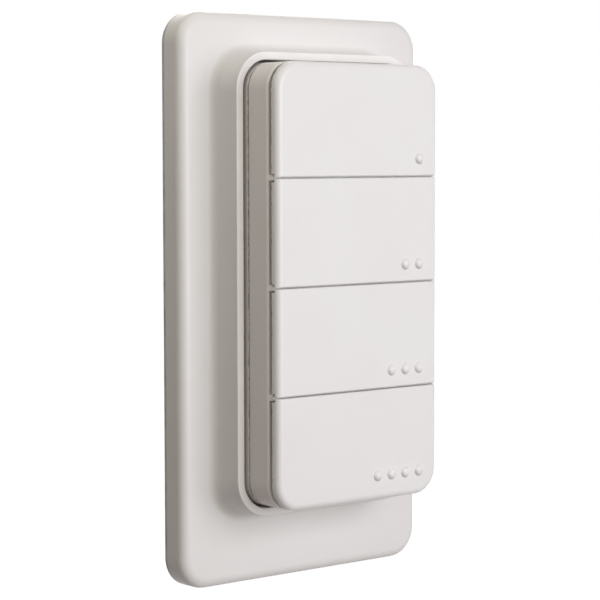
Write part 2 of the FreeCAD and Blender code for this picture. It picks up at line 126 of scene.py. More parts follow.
def add(tree, kind, inputs=None, **settings):
    """New node with its settings, and its inputs given a value or linked to a socket."""
    made = tree.nodes.new(kind)
    for name, value in settings.items():
        setattr(made, name, value)
    for key, value in (inputs or {}).items():
        socket = made.inputs[key]
        if isinstance(value, bpy.types.NodeSocket):
            tree.links.new(value, socket)
        else:
            socket.default_value = value
    return made


def maths(tree, operation, first, second=0.0, clamp=False):
    """Result of one sum on two numbers."""
    inputs = {0: first, 1: second}
    return add(tree, "ShaderNodeMath", inputs, operation=operation, use_clamp=clamp).outputs[0]


def lifted(tree, value, mask, amount, clamp=False):
    """Value raised by an amount where the mask says so."""
    return maths(tree, "ADD", value, maths(tree, "MULTIPLY", mask, amount), clamp)


def vectors(tree, operation, *inputs):
    """Outputs of one sum on vectors."""
    return add(tree, "ShaderNodeVectorMath", dict(enumerate(inputs)), operation=operation).outputs


def spread(tree, value, low, high, to_low=0.0, to_high=1.0):
    """Value mapped from one range to another and held inside it."""
    ranged = {"Value": value, "From Min": low, "From Max": high}
    ranged |= {"To Min": to_low, "To Max": to_high}
    return add(tree, "ShaderNodeMapRange", ranged).outputs["Result"]


def blend_colour(tree, share, first, second):
    """Two colours mixed by a share."""
    made = add(tree, "ShaderNodeMix", data_type="RGBA")
    for place, value in ((0, share), (6, first), (7, second)):
        if isinstance(value, bpy.types.NodeSocket):
            tree.links.new(value, made.inputs[place])
        else:
            made.inputs[place].default_value = value if place == 0 else (*value, 1.0)
    return made.outputs[2]


def tinted(tree, tone, mask, share, colour):
    """Tone with a share of another colour where the mask says so."""
    return blend_colour(tree, maths(tree, "MULTIPLY", mask, share), tone, colour)


def two_tones(tree, patches, first, second):
    """Two colours that follow a noise, each plain over a good part of it."""
    first_below, second_above = 0.3, 0.7
    return blend_colour(tree, spread(tree, patches, first_below, second_above), first, second)


def times(colour, factor):
    """Colour made darker or lighter, but not past white."""
    return tuple(min(1.0, part * factor) for part in colour)


def object_place(tree):
    """Place on the piece, in metres."""
    return add(tree, "ShaderNodeTexCoord").outputs["Object"]


def surface_normal(tree):
    """Direction that the surface faces, without its relief."""
    return add(tree, "ShaderNodeNewGeometry").outputs["Normal"]


def parts_of(tree, vector):
    """The three parts of a vector."""
    return add(tree, "ShaderNodeSeparateXYZ", {0: vector}).outputs


def noise(tree, size, place=None, detail=2.0, roughness=0.5):
    """Soft noise whose patches are about as wide as the size."""
    linked = isinstance(size, bpy.types.NodeSocket)
    scale = maths(tree, "DIVIDE", 1.0, size) if linked else 1.0 / size
    asked = {"Vector": place or object_place(tree), "Scale": scale}
    asked |= {"Detail": detail, "Roughness": roughness}
    return add(tree, "ShaderNodeTexNoise", asked).outputs[0]


def cells(tree, place, scale, feature="F1", randomness=1.0, **settings):
    """Outputs of a pattern of cells round scattered points."""
    asked = {"Vector": place, "Scale": scale, "Randomness": randomness}
    return add(tree, "ShaderNodeTexVoronoi", asked, feature=feature, **settings).outputs


# Effects that several finishes share

def shader_group(name, inputs, outputs):
    """Empty shader group with named inputs and outputs."""
    tree = bpy.data.node_groups.new(name, "ShaderNodeTree")
    for label, kind, value in inputs:
        socket = tree.interface.new_socket(label, in_out="INPUT", socket_type=kind)
        socket.default_value = value
    for label, kind in outputs:
        tree.interface.new_socket(label, in_out="OUTPUT", socket_type=kind)
    given = tree.nodes.new("NodeGroupInput").outputs
    return tree, given, tree.nodes.new("NodeGroupOutput").inputs


def mould_grain_group():
    """Spark texture of a mould, with broad patches and a few specks in the plastic."""
    pits_per_grain = 1.4
    pit_share = 0.3
    specks_per_grain = 0.12
    speck_core, speck_rim = 0.03, 0.06
    speckled_above = 0.55
    tree, given, made = shader_group(
        "mould grain",
        [("Grain Size", NUMBER, 0.25 * MM), ("Patch Size", NUMBER, 14 * MM)],
        [("Height", NUMBER), ("Patches", NUMBER), ("Specks", NUMBER)],
    )
    place = object_place(tree)
    grain = given["Grain Size"]
    soft = noise(tree, grain, place, detail=3.0, roughness=0.6)
    soft = maths(tree, "MULTIPLY", soft, 1.0 - pit_share)
    pits = cells(tree, place, maths(tree, "DIVIDE", pits_per_grain, grain))["Distance"]
    tree.links.new(lifted(tree, soft, pits, pit_share), made["Height"])
    broad = noise(tree, given["Patch Size"], place, detail=3.0, roughness=0.55)
    tree.links.new(broad, made["Patches"])
    specks = cells(tree, place, maths(tree, "DIVIDE", specks_per_grain, grain))
    near = spread(tree, specks["Distance"], speck_core, speck_rim, 1.0, 0.0)
    patches = noise(tree, given["Patch Size"], specks["Position"])
    chosen = maths(tree, "GREATER_THAN", patches, speckled_above)
    tree.links.new(maths(tree, "MULTIPLY", near, chosen), made["Specks"])
    return tree


def edge_wear_group():
    """Mask of the piece's edges, broken up by noise, and the normal of slightly rounded edges."""
    flat_cosine, edge_cosine = 0.99, 0.86
    whole_below, worn_above = 0.35, 0.62
    tree, given, made = shader_group(
        "edge wear",
        [("Width", NUMBER, 0.12 * MM), ("Break Size", NUMBER, 2.5 * MM)],
        [("Edge", NUMBER), ("Rounded", VECTOR)],
    )
    bevel = add(tree, "ShaderNodeBevel", {"Radius": given["Width"]}, samples=edge_samples)
    rounded = bevel.outputs["Normal"]
    same = vectors(tree, "DOT_PRODUCT", rounded, surface_normal(tree))["Value"]
    turned = spread(tree, same, flat_cosine, edge_cosine)
    broken = spread(tree, noise(tree, given["Break Size"], detail=4.0), whole_below, worn_above)
    tree.links.new(maths(tree, "MULTIPLY", turned, broken), made["Edge"])
    tree.links.new(rounded, made["Rounded"])
    return tree


def soil_group():
    """Dust that stays in the piece's own corners, and faint marks left by fingers."""
    open_above, shut_below = 0.72, 0.2
    dust_patch = 0.9 * MM
    clean_below, dusty_above = 0.32, 0.7
    unmarked_below, marked_above = 0.5, 0.68
    tree, given, made = shader_group(
        "soil",
        [("Reach", NUMBER, 1.6 * MM), ("Mark Size", NUMBER, 9 * MM)],
        [("Dust", NUMBER), ("Marks", NUMBER)],
    )
    reach = {"Distance": given["Reach"]}
    found = {"samples": corner_samples, "only_local": True}
    open_share = add(tree, "ShaderNodeAmbientOcclusion", reach, **found).outputs["AO"]
    shut = spread(tree, open_share, open_above, shut_below)
    patches = noise(tree, dust_patch, detail=4.0, roughness=0.7)
    patchy = spread(tree, patches, clean_below, dusty_above)
    tree.links.new(maths(tree, "MULTIPLY", shut, patchy), made["Dust"])
    marks = noise(tree, given["Mark Size"], detail=5.0, roughness=0.62)
    tree.links.new(spread(tree, marks, unmarked_below, marked_above), made["Marks"])
    return tree


def streaks_group():
    """Fine scratches drawn out along one direction."""
    deep_scale = 0.23
    shallow_below, deep_above = 0.66, 0.72
    tree, given, made = shader_group(
        "streaks",
        [("Fineness", VECTOR, (9000.0, 9000.0, 260.0))],
        [("Streaks", NUMBER), ("Deep", NUMBER)],
    )
    place = vectors(tree, "MULTIPLY", object_place(tree), given["Fineness"])["Vector"]
    fine = {"Vector": place, "Scale": 1.0, "Detail": 3.0}
    tree.links.new(add(tree, "ShaderNodeTexNoise", fine).outputs[0], made["Streaks"])
    wide = {"Vector": place, "Scale": deep_scale, "Detail": 1.0}
    deep = add(tree, "ShaderNodeTexNoise", wide).outputs[0]
    tree.links.new(spread(tree, deep, shallow_below, deep_above), made["Deep"])
    return tree


def turned_rings_group():
    """Tool marks round an axis out of the wall, also round four axes that mirror each other."""
    tree, given, made = shader_group(
        "turned rings",
        [
            ("Middle", VECTOR, (0.0, 0.0, 0.0)),
            ("Offset", VECTOR, (0.0, 0.0, 0.0)),
            ("Pitch", NUMBER, 0.12 * MM),
        ],
        [("Rings", NUMBER)],
    )
    off_middle = vectors(tree, "SUBTRACT", object_place(tree), given["Middle"])["Vector"]
    folded = vectors(tree, "ABSOLUTE", off_middle)["Vector"]
    moved = vectors(tree, "SUBTRACT", folded, given["Offset"])["Vector"]
    flat = vectors(tree, "MULTIPLY", moved, (1.0, 0.0, 1.0))["Vector"]
    radius = vectors(tree, "LENGTH", flat)["Value"]
    turns = {"W": maths(tree, "DIVIDE", radius, given["Pitch"]), "Scale": 1.0, "Detail": 2.0}
    rings = add(tree, "ShaderNodeTexNoise", turns, noise_dimensions="1D")
    tree.links.new(rings.outputs[0], made["Rings"])
    return tree


mould_grain = mould_grain_group()
edge_wear = edge_wear_group()
soil = soil_group()
streaks = streaks_group()
turned_rings = turned_rings_group()


# Finishes

def effect(tree, group, **sizes):
    """One of the shared effects, placed in a material with its own values."""
    made = tree.nodes.new("ShaderNodeGroup")
    made.node_tree = group
    for name, value in sizes.items():
        made.inputs[name.replace("_", " ").title()].default_value = value
    return made.outputs


def new_material(name):
    """Empty node material and its surface shader."""
    material = bpy.data.materials.new(name)
    material.use_nodes = True
    tree = material.node_tree
    tree.nodes.clear()
    surface = tree.nodes.new("ShaderNodeBsdfPrincipled")
    output = tree.nodes.new("ShaderNodeOutputMaterial")
    tree.links.new(surface.outputs[0], output.inputs["Surface"])
    return material, tree, surface


def set_constants(surface, **values):
    """Numbers that are the same all over the piece."""
    for name, value in values.items():
        label = name.replace("_", " ").title().replace("Ior", "IOR")
        surface.inputs[label].default_value = value


def uneven_shine(tree, pattern, roughness, less, more, low=0.25, high=0.75):
    """Roughness that a pattern moves a little to both sides."""
    return spread(tree, pattern, low, high, roughness - less, roughness + more)


def rough_skin(tree, surface, height, depth, normal=None):
    """Fine relief on the surface, on top of the rounded edges if given."""
    asked = {"Height": height, "Distance": depth, "Strength": 1.0}
    if normal is not None:
        asked["Normal"] = normal
    relief = add(tree, "ShaderNodeBump", asked).outputs["Normal"]
    tree.links.new(relief, surface.inputs["Normal"])


def depth_bands(tree, tone, bands):
    """Lines at their depths on the piece's sides or its front, broken up between two shares."""
    line_core = 0.6
    bare_below, full_above = 0.43, 0.62
    side_within, side_ends = 0.8, 0.95
    front_within, front_ends = -0.8, -0.5
    depth = parts_of(tree, object_place(tree))[1]
    turned = parts_of(tree, surface_normal(tree))[1]
    sideways = maths(tree, "ABSOLUTE", turned)
    faces = {
        "side": spread(tree, sideways, side_within, side_ends, 1.0, 0.0),
        "front": spread(tree, turned, front_within, front_ends, 1.0, 0.0),
    }
    for face, middle, half_width, patch, least, most, colour in bands:
        away = maths(tree, "ABSOLUTE", maths(tree, "SUBTRACT", depth, middle))
        near = spread(tree, away, line_core * half_width, half_width, 1.0, 0.0)
        line = maths(tree, "MULTIPLY", faces[face], near)
        patches = noise(tree, patch, detail=5.0, roughness=0.65)
        share = spread(tree, patches, bare_below, full_above, least, most)
        tone = tinted(tree, tone, line, share, colour)
    return tone


def dot_foot_shade(tree, tone):
    """Painted shade at the foot of the raised dots, darkest on their low and left sides, which
    face away from the light.
    """
    shade_share = 0.56
    left_weight = 0.45
    none_above, full_below = -0.12, -0.75
    foot_height = 0.2 * MM
    clean_top = 0.04 * MM
    clear_of_cap = 0.01 * MM
    depth = parts_of(tree, object_place(tree))[1]
    on_dot = maths(tree, "LESS_THAN", depth, cap_front - clear_of_cap)
    foot = spread(tree, depth, cap_front - dot_height + clean_top, cap_front - foot_height)
    turned = parts_of(tree, surface_normal(tree))
    low = lifted(tree, turned[2], turned[0], left_weight)
    low = spread(tree, low, none_above, full_below)
    # Painted shade: the dots' feet darkened where they face down and to the left.
    foot_shade = maths(tree, "MULTIPLY", maths(tree, "MULTIPLY", on_dot, foot), low)
    return tinted(tree, tone, foot_shade, shade_share, dot_shade_tone)


def moulded_plastic(
    name, colour, warm, roughness, grain_size=0.25 * MM, grain_depth=0.006 * MM,
    edge_width=0.1 * MM, bands=(), dots=False,
):
    """Satin plastic from a spark-eroded mould: faint patches, dust in corners, polished edges."""
    speck_share = 0.12
    dust_share, dust_dulling = 0.22, 0.15
    mark_share, mark_polish = 0.04, 0.05
    worn_share, worn_polish = 0.35, 0.1
    material, tree, surface = new_material(name)
    grain = effect(tree, mould_grain, grain_size=grain_size)
    edges = effect(tree, edge_wear, width=edge_width)
    dirt = effect(tree, soil)
    tone = two_tones(tree, grain["Patches"], colour, warm)
    tone = tinted(tree, tone, grain["Specks"], speck_share, speck_tone)
    tone = tinted(tree, tone, dirt["Dust"], dust_share, dust_tone)
    tone = tinted(tree, tone, dirt["Marks"], mark_share, finger_tone)
    tone = tinted(tree, tone, edges["Edge"], worn_share, worn_plastic)
    if bands:
        tone = depth_bands(tree, tone, bands)
    if dots:
        tone = dot_foot_shade(tree, tone)
    tree.links.new(tone, surface.inputs["Base Color"])
    shine = uneven_shine(tree, grain["Patches"], roughness, less=0.03, more=0.04)
    shine = lifted(tree, shine, edges["Edge"], -worn_polish)
    shine = lifted(tree, shine, dirt["Marks"], -mark_polish)
    shine = lifted(tree, shine, dirt["Dust"], dust_dulling, clamp=True)
    tree.links.new(shine, surface.inputs["Roughness"])
    set_constants(surface, ior=1.5)
    rough_skin(tree, surface, grain["Height"], grain_depth, edges["Rounded"])
    return material


def sheet_metal(name, colour, dark, roughness, fineness, spangle_size=None):
    """Rolled sheet or strip with streaks along it, and spangle where it is plated."""
    crystal_share, crystal_gain, crystal_dulling = 0.35, 1.18, 0.2
    mark_share, mark_shade, mark_dulling = 0.25, 0.72, 0.12
    worn_share = 0.5
    scratch_share = 0.6
    streak_depth = 0.003 * MM
    material, tree, surface = new_material(name)
    lines = effect(tree, streaks, fineness=fineness)
    edges = effect(tree, edge_wear, width=0.08 * MM)
    dirt = effect(tree, soil, mark_size=4 * MM)
    tone = two_tones(tree, lines["Streaks"], dark, colour)
    shine = uneven_shine(tree, lines["Streaks"], roughness, less=0.06, more=0.08)
    if spangle_size:
        crystals = cells(tree, object_place(tree), 1.0 / spangle_size)["Color"]
        each = add(tree, "ShaderNodeSeparateColor", {0: crystals}).outputs[0]
        bright = spread(tree, each, 0.0, 1.0, 0.0, crystal_share)
        tone = blend_colour(tree, bright, tone, times(colour, crystal_gain))
        shine = lifted(tree, shine, bright, crystal_dulling)
    tone = tinted(tree, tone, dirt["Marks"], mark_share, times(dark, mark_shade))
    tone = tinted(tree, tone, edges["Edge"], worn_share, worn_sheet)
    tree.links.new(tone, surface.inputs["Base Color"])
    shine = lifted(tree, shine, dirt["Marks"], mark_dulling, clamp=True)
    tree.links.new(shine, surface.inputs["Roughness"])
    set_constants(surface, metallic=1.0)
    height = lifted(tree, lines["Streaks"], lines["Deep"], -scratch_share)
    rough_skin(tree, surface, height, streak_depth, edges["Rounded"])
    return material


def turned_metal(
    name, colour, dark, roughness, middle, offset=(0.0, 0.0, 0.0), pitch=0.12 * MM
):
    """Turned or headed metal with fine rings round its axis."""
    dust_share, dust_shade = 0.6, 0.35
    mark_share, mark_shade, mark_dulling = 0.2, 0.75, 0.15
    worn_share = 0.5
    ring_depth = 0.002 * MM
    material, tree, surface = new_material(name)
    rings = effect(tree, turned_rings, middle=middle, offset=offset, pitch=pitch)
    edges = effect(tree, edge_wear, width=0.08 * MM, break_size=0.8 * MM)
    dirt = effect(tree, soil, reach=0.6 * MM, mark_size=3 * MM)
    tone = two_tones(tree, rings["Rings"], dark, colour)
    tone = tinted(tree, tone, dirt["Dust"], dust_share, times(dark, dust_shade))
    tone = tinted(tree, tone, dirt["Marks"], mark_share, times(dark, mark_shade))
    tone = tinted(tree, tone, edges["Edge"], worn_share, worn_turned)
    tree.links.new(tone, surface.inputs["Base Color"])
    shine = uneven_shine(tree, rings["Rings"], roughness, less=0.05, more=0.07)
    shine = lifted(tree, shine, dirt["Marks"], mark_dulling, clamp=True)
    tree.links.new(shine, surface.inputs["Roughness"])
    set_constants(surface, metallic=1.0)
    rough_skin(tree, surface, rings["Rings"], ring_depth, edges["Rounded"])
    return material


def board_laminate():
    """Green solder mask over fine tracks on the faces, and bare glass laminate at the edges."""
    dark_green, light_green = (0.012, 0.105, 0.038), (0.018, 0.135, 0.05)
    track_green = (0.05, 0.24, 0.08)
    hole_tin = (0.55, 0.52, 0.42)
    dark_glass, light_glass = (0.34, 0.30, 0.14), (0.50, 0.45, 0.25)
    track_scale = 520.0
    track_core, track_rim = 0.07, 0.12
    hole_core, hole_rim = 0.10, 0.13
    edge_below = 0.5
    weave_scale, weave_wobble = 2500.0, 1.5
    worn_share = 0.4
    mask_roughness, edge_dulling, patch_dulling = 0.3, 0.45, 0.12
    grain_share = 0.15
    track_height = 0.03 * MM
    material, tree, surface = new_material("board_solder_mask")
    place = object_place(tree)
    parts = parts_of(tree, place)
    flat = add(tree, "ShaderNodeCombineXYZ", {0: parts[0], 1: parts[2]}).outputs[0]
    plane = {"randomness": 0.85, "distance": "MANHATTAN", "voronoi_dimensions": "2D"}
    first = cells(tree, flat, track_scale, "F1", **plane)["Distance"]
    second = cells(tree, flat, track_scale, "F2", **plane)["Distance"]
    between = maths(tree, "SUBTRACT", second, first)
    tracks = spread(tree, between, track_core, track_rim, 1.0, 0.0)
    holes = spread(tree, first, hole_core, hole_rim, 1.0, 0.0)
    face_on = parts_of(tree, surface_normal(tree))[1]
    cut_edge = maths(tree, "LESS_THAN", maths(tree, "ABSOLUTE", face_on), edge_below)
    grain = effect(tree, mould_grain, grain_size=0.12 * MM, patch_size=6 * MM)
    edges = effect(tree, edge_wear, width=0.06 * MM)
    mask = two_tones(tree, grain["Patches"], dark_green, light_green)
    mask = blend_colour(tree, tracks, mask, track_green)
    mask = blend_colour(tree, holes, mask, hole_tin)
    weave = {"Vector": place, "Scale": weave_scale, "Distortion": weave_wobble}
    layers = add(tree, "ShaderNodeTexWave", weave, bands_direction="Y").outputs["Fac"]
    bare = blend_colour(tree, layers, dark_glass, light_glass)
    tone = blend_colour(tree, cut_edge, mask, bare)
    tone = tinted(tree, tone, edges["Edge"], worn_share, worn_laminate)
    tree.links.new(tone, surface.inputs["Base Color"])
    shine = lifted(tree, mask_roughness, cut_edge, edge_dulling)
    shine = lifted(tree, shine, grain["Patches"], patch_dulling, clamp=True)
    tree.links.new(shine, surface.inputs["Roughness"])
    height = lifted(tree, tracks, grain["Height"], grain_share)
    rough_skin(tree, surface, height, track_height, edges["Rounded"])
    return material


def switch_body():
    """Black moulding with a bright cover plate in front and tinned legs at the sides."""
    dark_body, light_body = (0.018, 0.018, 0.02), (0.05, 0.05, 0.05)
    dark_tin, light_tin = (0.52, 0.52, 0.50), (0.80, 0.80, 0.78)
    body_roughness, tin_roughness = 0.58, 0.26
    worn_share = 0.4
    skin_depth = 0.006 * MM
    material, tree, surface = new_material("switch_body_and_legs")
    parts = parts_of(tree, object_place(tree))
    side = maths(tree, "GREATER_THAN", maths(tree, "ABSOLUTE", parts[0]), switch_leg_start)
    cover_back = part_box("tact_switch_1")[0].y + switch_cover_thickness
    cover = maths(tree, "LESS_THAN", parts[1], cover_back)
    metal = maths(tree, "MAXIMUM", side, cover)
    grain = effect(tree, mould_grain, grain_size=0.1 * MM, patch_size=2 * MM)
    edges = effect(tree, edge_wear, width=0.05 * MM, break_size=0.6 * MM)
    lines = effect(tree, streaks, fineness=(7000.0, 7000.0, 500.0))
    black = blend_colour(tree, grain["Patches"], dark_body, light_body)
    black = tinted(tree, black, edges["Edge"], worn_share, worn_black)
    bright = blend_colour(tree, lines["Streaks"], dark_tin, light_tin)
    tree.links.new(blend_colour(tree, metal, black, bright), surface.inputs["Base Color"])
    tree.links.new(metal, surface.inputs["Metallic"])
    smooth = maths(tree, "ADD", grain["Patches"], metal)
    shine = spread(tree, smooth, 0.0, 1.5, body_roughness, tin_roughness)
    tree.links.new(shine, surface.inputs["Roughness"])
    rough_skin(tree, surface, grain["Height"], skin_depth, edges["Rounded"])
    return material


def foam():
    """Closed-cell foam with an adhesive film on both faces."""
    hollow_grey, wall_grey = (0.05, 0.05, 0.052), (0.17, 0.17, 0.175)
    dark_film, light_film = (0.225, 0.225, 0.23), (0.27, 0.267, 0.265)
    foam_roughness, film_roughness = 0.92, 0.38
    small_cells, big_cells = 4200.0, 1700.0
    hollow_below, wall_above = 0.1, 0.6
    foam_below, film_above = 0.9, 0.97
    wrinkle_size = 1.8 * MM
    big_share, film_cover, wrinkle_share = 0.6, 0.8, 0.5
    skin_depth = 0.06 * MM
    material, tree, surface = new_material("pad_foam_and_film")
    place = object_place(tree)
    small = cells(tree, place, small_cells, "SMOOTH_F1")["Distance"]
    big = cells(tree, place, big_cells)["Distance"]
    face_on = parts_of(tree, surface_normal(tree))[1]
    film = spread(tree, maths(tree, "ABSOLUTE", face_on), foam_below, film_above)
    shade = spread(tree, small, hollow_below, wall_above)
    core = blend_colour(tree, shade, hollow_grey, wall_grey)
    wrinkle = noise(tree, wrinkle_size, place, detail=5.0, roughness=0.62)
    sticky = two_tones(tree, wrinkle, dark_film, light_film)
    tree.links.new(blend_colour(tree, film, core, sticky), surface.inputs["Base Color"])
    smooth = maths(tree, "MULTIPLY", film, wrinkle)
    shine = spread(tree, smooth, 0.0, 0.7, foam_roughness, film_roughness)
    tree.links.new(shine, surface.inputs["Roughness"])
    height = lifted(tree, small, big, big_share)
    bare = lifted(tree, 1.0, film, -film_cover)
    height = lifted(tree, maths(tree, "MULTIPLY", height, bare), wrinkle, wrinkle_share)
    rough_skin(tree, surface, height, skin_depth)
    return material


def plain_part(name, colour, other, roughness, metallic=0.0, depth=0.004 * MM):
    """Finish of the smallest parts: two tones, uneven shine and a fine skin."""
    worn_share, worn_gain, worn_lift = 0.4, 1.5, 0.04
    material, tree, surface = new_material(name)
    grain = effect(tree, mould_grain, grain_size=0.1 * MM, patch_size=1.2 * MM)
    edges = effect(tree, edge_wear, width=0.05 * MM, break_size=0.5 * MM)
    tone = two_tones(tree, grain["Patches"], colour, other)
    lighter = tuple(min(1.0, part * worn_gain + worn_lift) for part in colour)
    tone = tinted(tree, tone, edges["Edge"], worn_share, lighter)
    tree.links.new(tone, surface.inputs["Base Color"])
    shine = uneven_shine(
        tree, grain["Patches"], roughness, less=0.08, more=0.1, low=0.2, high=0.8
    )
    tree.links.new(shine, surface.inputs["Roughness"])
    set_constants(surface, metallic=metallic)
    rough_skin(tree, surface, grain["Height"], depth, edges["Rounded"])
    return material


# Lines on the plastic: face, middle, half width, patch size, least and most share, colour
# Painted shadow: a dark line round the plate's back edge, where the plate meets the wall.
wall_shadow_line = ("side", plate_back, 0.60 * MM, 3 * MM, 0.45, 0.85, (0.25, 0.24, 0.23))
# Painted light: a lighter tone on the collar rim's front, which the raised remote would otherwise
# leave in shade.
rim_painted_light = ("front", collar_front, 0.25 * MM, 6 * MM, 0.7, 0.9, (0.90, 0.89, 0.88))
# Dirt specks along the case seam, and painted shade that darkens the seam's edges to a dark line.
seam_dirt_and_shade = ("side", case_seam, 0.20 * MM, 0.9 * MM, -0.2, 0.9, (0.05, 0.045, 0.04))
gap_dirt = ("side", cap_back, 0.16 * MM, 1.0 * MM, -0.2, 0.6, (0.10, 0.085, 0.07))
# Painted highlight: a lighter line along the front edge of the housing.
front_edge_highlight = ("side", case_front, 0.65 * MM, 6 * MM, 0.85, 1.0, (0.95, 0.93, 0.915))

plate_plastic = moulded_plastic(
    "plate_plastic_satin", (0.790, 0.783, 0.776), (0.776, 0.765, 0.755), 0.46,
    edge_width=0.05 * MM, bands=(wall_shadow_line, rim_painted_light),
)
case_plastic = moulded_plastic(
    "case_plastic_satin", (0.792, 0.771, 0.761), (0.775, 0.750, 0.737), 0.46,
    bands=(seam_dirt_and_shade, front_edge_highlight),
)
cap_plastic = moulded_plastic(
    "cap_plastic_satin", (0.812, 0.807, 0.804), (0.801, 0.792, 0.785), 0.42,
    grain_size=0.22 * MM, bands=(gap_dirt,), dots=True,
)
stem_plastic = moulded_plastic(
    "stem_plastic", (0.55, 0.50, 0.42), (0.50, 0.45, 0.37), 0.5,
    grain_size=0.1 * MM, grain_depth=0.004 * MM, edge_width=0.05 * MM,
)
keeper_steel = sheet_metal(
    "keeper_zinc_plate", (0.66, 0.665, 0.66), (0.52, 0.525, 0.52), 0.4,
    fineness=(6000.0, 6000.0, 140.0), spangle_size=2.2 * MM,
)
shield_metal = sheet_metal(
    "shield_tin_plate", (0.76, 0.755, 0.73), (0.62, 0.615, 0.60), 0.34,
    fineness=(350.0, 5000.0, 7000.0),
)
contact_metal = sheet_metal(
    "contact_nickel", (0.80, 0.775, 0.70), (0.66, 0.635, 0.56), 0.28,
    fineness=(420.0, 8000.0, 8000.0),
)
cell_middle = tuple(sum(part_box("coin_cell"), Vector()) / 2)
cell_steel = turned_metal(
    "cell_steel_turned", (0.78, 0.78, 0.765), (0.64, 0.64, 0.63), 0.26, cell_middle
)
screws_low, screws_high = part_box("case_screws")
screws_middle = (screws_low + screws_high) / 2
screw_spread = (screws_high - screws_low) / 2 - Vector((1, 0, 1)) * screw_head_radius
screw_steel = turned_metal(
    "screw_zinc_plate", (0.50, 0.50, 0.50), (0.33, 0.33, 0.335), 0.36, tuple(screws_middle),
    offset=(screw_spread.x, 0.0, screw_spread.z), pitch=0.1 * MM,
)
magnet_middle = tuple(sum(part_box("magnet_top"), Vector()) / 2)
magnet_metal = turned_metal(
    "magnet_nickel", (0.78, 0.77, 0.75), (0.70, 0.69, 0.67), 0.16, magnet_middle,
    pitch=0.4 * MM,
)
pad_foam = foam()
board_finish = board_laminate()
switch_finish = switch_body()

finishes = {
    "wall_plate": plate_plastic,
    "keeper_plate": keeper_steel,
    "rear_cover": case_plastic,
    "battery_door": case_plastic,
    "front_housing": case_plastic,
    "coin_cell": cell_steel,
    "contact_positive": contact_metal,
    "contact_negative": contact_metal,
    "magnet_top": magnet_metal,
    "magnet_bottom": magnet_metal,
    "circuit_board": board_finish,
    "radio_module": shield_metal,
    "case_screws": screw_steel,
    "adhesive_pad": pad_foam,
}
for number in range(1, 5):
    finishes[f"button_cap_{number}"] = cap_plastic
    finishes[f"tact_switch_{number}"] = switch_finish
    finishes[f"switch_stem_{number}"] = stem_plastic
for name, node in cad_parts.items():
    if not node.material_slots:
        node.data.materials.append(None)
    for material_slot in node.material_slots:
        material_slot.material = finishes[name]


# The foam pad and the small parts on the board

def plain_piece(name, mesh, body):
    """Finished piece in the scene, on its body."""
    piece = bpy.data.objects.new(name, mesh)
    scene.collection.objects.link(piece)
    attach(piece, body)
    return piece


def rounded_ring(half_x, half_z, corner):
    """Points round a rectangle with round corners, the same number whatever its size."""
    arc_steps = 8
    side_steps = 36
    signs = ((1, 1), (-1, 1), (-1, -1), (1, -1))
    points = []
    for number, (side_x, side_z) in enumerate(signs):
        centre_x = side_x * (half_x - corner)
        centre_z = side_z * (half_z - corner)
        for step in range(arc_steps + 1):
            angle = math.pi / 2 * (number + step / arc_steps)
            across, along = corner * math.cos(angle), corner * math.sin(angle)
            points.append((centre_x + across, centre_z + along))
        next_x, next_z = signs[(number + 1) % 4]
        start_x, start_z = points[-1]
        angle = math.pi / 2 * (number + 1)
        end_x = next_x * (half_x - corner) + corner * math.cos(angle)
        end_z = next_z * (half_z - corner) + corner * math.sin(angle)
        for step in range(1, side_steps):
            share = step / side_steps
            x = start_x + (end_x - start_x) * share
            points.append((x, start_z + (end_z - start_z) * share))
    return points


def foam_pad():
    """Foam pad with two flat glued faces and a swollen, slightly uneven cut edge."""
    face_insets = (1.6 * MM, 0.5 * MM, 0.12 * MM)
    edge_shares = (0.06, 0.2, 0.35, 0.5, 0.65, 0.8, 0.94)
    fullness = 0.7
    bumps_per_metre = 900.0
    low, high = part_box("adhesive_pad")
    middle = (low + high) / 2
    half = (high - low) / 2
    rings = [(inset, 0.0) for inset in face_insets]
    for share in edge_shares:
        rings.append((-pad_swell * math.sin(math.pi * share) ** fullness, share))
    rings += [(inset, 1.0) for inset in reversed(face_insets)]
    shell = bmesh.new()
    loops = []
    for inset, share in rings:
        depth = low.y + (high.y - low.y) * share
        on_edge = 0.0 < share < 1.0
        corner = pad_corner - min(inset, pad_corner / 2)
        loop = []
        for x, z in rounded_ring(half.x - inset, half.z - inset, corner):
            place = Vector((middle.x + x, depth, middle.z + z))
            if on_edge:
                away = Vector((x, 0.0, z)).normalized()
                place += away * pad_unevenness * noise_at.noise(place * bumps_per_metre)
            loop.append(shell.verts.new(place))
        loops.append(loop)
    count = len(loops[0])
    for first, second in zip(loops, loops[1:]):
        for here in range(count):
            after = (here + 1) % count
            corners = (first[here], first[after], second[after], second[here])
            shell.faces.new(corners).smooth = True
    shell.faces.new(loops[0])
    shell.faces.new(list(reversed(loops[-1])))
    bmesh.ops.recalc_face_normals(shell, faces=shell.faces)
    mesh = bpy.data.meshes.new("foam_pad")
    shell.to_mesh(mesh)
    shell.free()
    mesh.materials.append(pad_foam)
    piece = plain_piece("foam_pad", mesh, "wall_holder")
    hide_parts("adhesive_pad")


